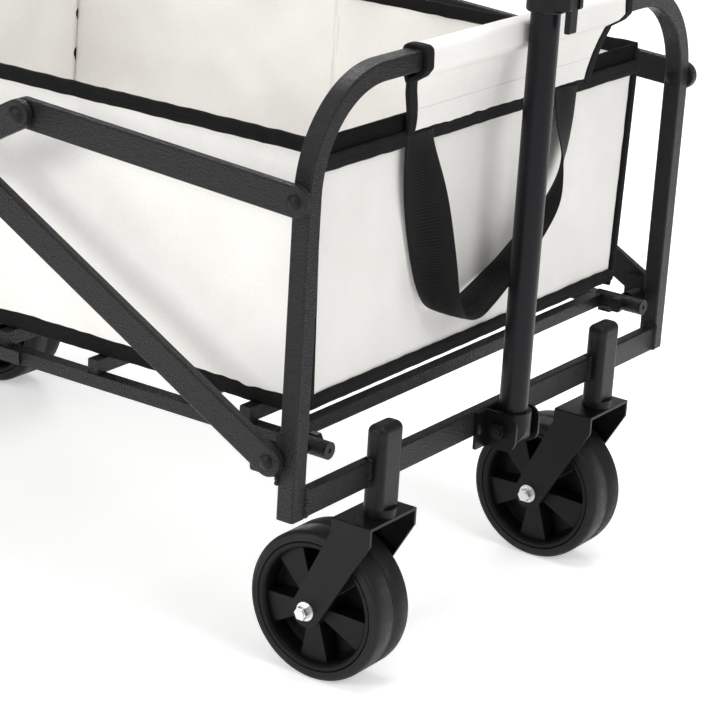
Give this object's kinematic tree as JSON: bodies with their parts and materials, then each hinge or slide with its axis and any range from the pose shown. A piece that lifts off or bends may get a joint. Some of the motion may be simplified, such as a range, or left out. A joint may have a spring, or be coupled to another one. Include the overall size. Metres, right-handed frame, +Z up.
{
  "type": "folding wagon",
  "caption": "Collapsible utility wagon: fabric tub in a scissor-folding tube frame, swivelling front casters, fixed rear wheels and a telescoping pull handle.",
  "frame": {"origin": "on the floor, under the middle of the whole wagon, 11 mm behind the middle between the end frames", "axes": "+X forward, to the end with the handle and the casters; +Y to the wagon's left; +Z up"},
  "size_m": [0.8, 0.605, 0.668],
  "materials": {
    "black_powder_coat": "hammered satin powder coat",
    "black_rivet": "black rivets and bolts, satin",
    "zinc_steel": "bright zinc plate",
    "black_plastic": "fine moulded texture",
    "grip_plastic": "matte moulded grip",
    "hub_plastic": "satin moulded plastic",
    "tyre": "smooth solid tyre with a mould seam",
    "cream_fabric": "woven polyester, off-white",
    "black_webbing": "ribbed webbing"
  },
  "bodies": {
    "front_frame": {"front_hoop": "black_powder_coat", "front_crossbar": "black_powder_coat", "front_caster_sockets": "black_powder_coat", "front_socket_caps": "black_plastic", "front_pivot_lugs": "black_powder_coat", "front_upper_rivets": "black_rivet", "front_lower_bolts": "black_rivet", "front_spacers": "black_powder_coat", "handle_bracket": "black_powder_coat", "handle_bolt": "zinc_steel", "tub_panel_front": "cream_fabric", "tub_soft_walls_front": "cream_fabric", "rail_sleeve_front": "cream_fabric", "carry_strap": "black_webbing"},
    "rear_frame": {"rear_hoop": "black_powder_coat", "rear_crossbar": "black_powder_coat", "rear_caster_sockets": "black_powder_coat", "rear_socket_caps": "black_plastic", "rear_pivot_lugs": "black_powder_coat", "rear_upper_rivets": "black_rivet", "rear_lower_bolts": "black_rivet", "rear_spacers": "black_powder_coat", "tub_panel_rear": "cream_fabric", "tub_soft_walls_rear": "cream_fabric", "rail_sleeve_rear": "cream_fabric", "rear_forks": "black_powder_coat", "rear_axles": "zinc_steel"},
    "floor_front": {"floor_frame_front": "black_powder_coat", "barrel_plugs_front": "black_plastic", "tub_floor_front": "cream_fabric", "floor_board_front": "cream_fabric", "hinge_pins": "black_rivet"},
    "floor_rear": {"floor_frame_rear": "black_powder_coat", "barrel_plugs_rear": "black_plastic", "tub_floor_rear": "cream_fabric", "floor_board_rear": "cream_fabric"},
    "front_diagonals": {"front_diagonals": "black_powder_coat"},
    "rear_diagonals": {"rear_diagonals": "black_powder_coat", "diagonal_rivets": "black_rivet"},
    "front_links": {"front_links": "black_powder_coat"},
    "rear_links": {"rear_links": "black_powder_coat", "link_rivets": "black_rivet"},
    "handle": {"handle_yoke": "black_powder_coat", "handle_tube": "black_powder_coat", "handle_collar": "black_plastic"},
    "handle_extension": {"handle_inner_tube": "black_powder_coat", "handle_grip": "grip_plastic"},
    "collar_lever": {"collar_lever": "black_plastic"},
    "caster_left": {"caster_fork_left": "black_powder_coat", "caster_axle_left": "zinc_steel"},
    "wheel_front_left": {"tyre_front_left": "tyre", "hub_front_left": "hub_plastic"},
    "wheel_rear_left": {"tyre_rear_left": "tyre", "hub_rear_left": "hub_plastic"},
    "caster_right": {"caster_fork_right": "black_powder_coat", "caster_axle_right": "zinc_steel"},
    "wheel_front_right": {"tyre_front_right": "tyre", "hub_front_right": "hub_plastic"},
    "wheel_rear_right": {"tyre_rear_right": "tyre", "hub_rear_right": "hub_plastic"}
  },
  "joints": [
    {"name": "fold", "type": "hinge", "parent": "front_frame", "child": "floor_front", "pos_m": [0.336, 0, 0.222], "axis": [0, 1, 0], "range_deg": [0, 75], "deforming": ["tub_soft_walls_front", "tub_soft_walls_rear"]},
    {"name": "floor_middle", "type": "hinge", "parent": "floor_front", "child": "floor_rear", "pos_m": [0.011, 0, 0.217], "axis": [0, 1, 0], "range_deg": [-150, 0]},
    {"name": "rear_floor_pivot", "type": "hinge", "parent": "floor_rear", "child": "rear_frame", "pos_m": [-0.314, 0, 0.222], "axis": [0, 1, 0], "range_deg": [0, 75]},
    {"name": "front_diagonal_pivot", "type": "hinge", "parent": "front_frame", "child": "front_diagonals", "pos_m": [0.336, 0, 0.222], "axis": [0, 1, 0], "range_deg": [0, 47.72]},
    {"name": "rear_diagonal_pivot", "type": "hinge", "parent": "rear_frame", "child": "rear_diagonals", "pos_m": [-0.314, 0, 0.222], "axis": [0, 1, 0], "range_deg": [-47.72, 0]},
    {"name": "front_link_pivot", "type": "hinge", "parent": "front_frame", "child": "front_links", "pos_m": [0.349, 0, 0.425], "axis": [0, 1, 0], "range_deg": [0, 68.36]},
    {"name": "rear_link_pivot", "type": "hinge", "parent": "rear_frame", "child": "rear_links", "pos_m": [-0.327, 0, 0.425], "axis": [0, 1, 0], "range_deg": [-68.36, 0]},
    {"name": "handle_tilt", "type": "hinge", "parent": "front_frame", "child": "handle", "pos_m": [0.373, 0, 0.181], "axis": [0, 1, 0], "range_deg": [0, 100]},
    {"name": "handle_slide", "type": "slide", "parent": "handle", "child": "handle_extension", "axis": [0, 0, 1], "range_m": [0, 0.26]},
    {"name": "collar_clamp", "type": "hinge", "parent": "handle", "child": "collar_lever", "pos_m": [0.395, 0, 0.543], "axis": [0, 1, 0], "range_deg": [-95, 0]},
    {"name": "caster_swivel_left", "type": "hinge", "parent": "front_frame", "child": "caster_left", "pos_m": [0.359, 0.167, 0.149], "axis": [0, 0, 1], "continuous": true},
    {"name": "wheel_spin_front_left", "type": "hinge", "parent": "caster_left", "child": "wheel_front_left", "pos_m": [0.316, 0.167, 0.063], "axis": [0, 1, 0], "continuous": true},
    {"name": "wheel_spin_rear_left", "type": "hinge", "parent": "rear_frame", "child": "wheel_rear_left", "pos_m": [-0.337, 0.167, 0.063], "axis": [0, 1, 0], "continuous": true},
    {"name": "caster_swivel_right", "type": "hinge", "parent": "front_frame", "child": "caster_right", "pos_m": [0.359, -0.167, 0.149], "axis": [0, 0, 1], "continuous": true},
    {"name": "wheel_spin_front_right", "type": "hinge", "parent": "caster_right", "child": "wheel_front_right", "pos_m": [0.316, -0.167, 0.063], "axis": [0, 1, 0], "continuous": true},
    {"name": "wheel_spin_rear_right", "type": "hinge", "parent": "rear_frame", "child": "wheel_rear_right", "pos_m": [-0.337, -0.167, 0.063], "axis": [0, 1, 0], "continuous": true}
  ],
  "couplings": [
    {"joint": "floor_middle", "follows": "fold", "ratio": -2},
    {"joint": "rear_floor_pivot", "follows": "fold", "ratio": 1},
    {"joint": "front_diagonal_pivot", "follows": "fold", "ratio": 0.63608},
    {"joint": "rear_diagonal_pivot", "follows": "fold", "ratio": -0.63608},
    {"joint": "front_link_pivot", "follows": "fold", "ratio": 0.91139},
    {"joint": "rear_link_pivot", "follows": "fold", "ratio": -0.91139}
  ]
}
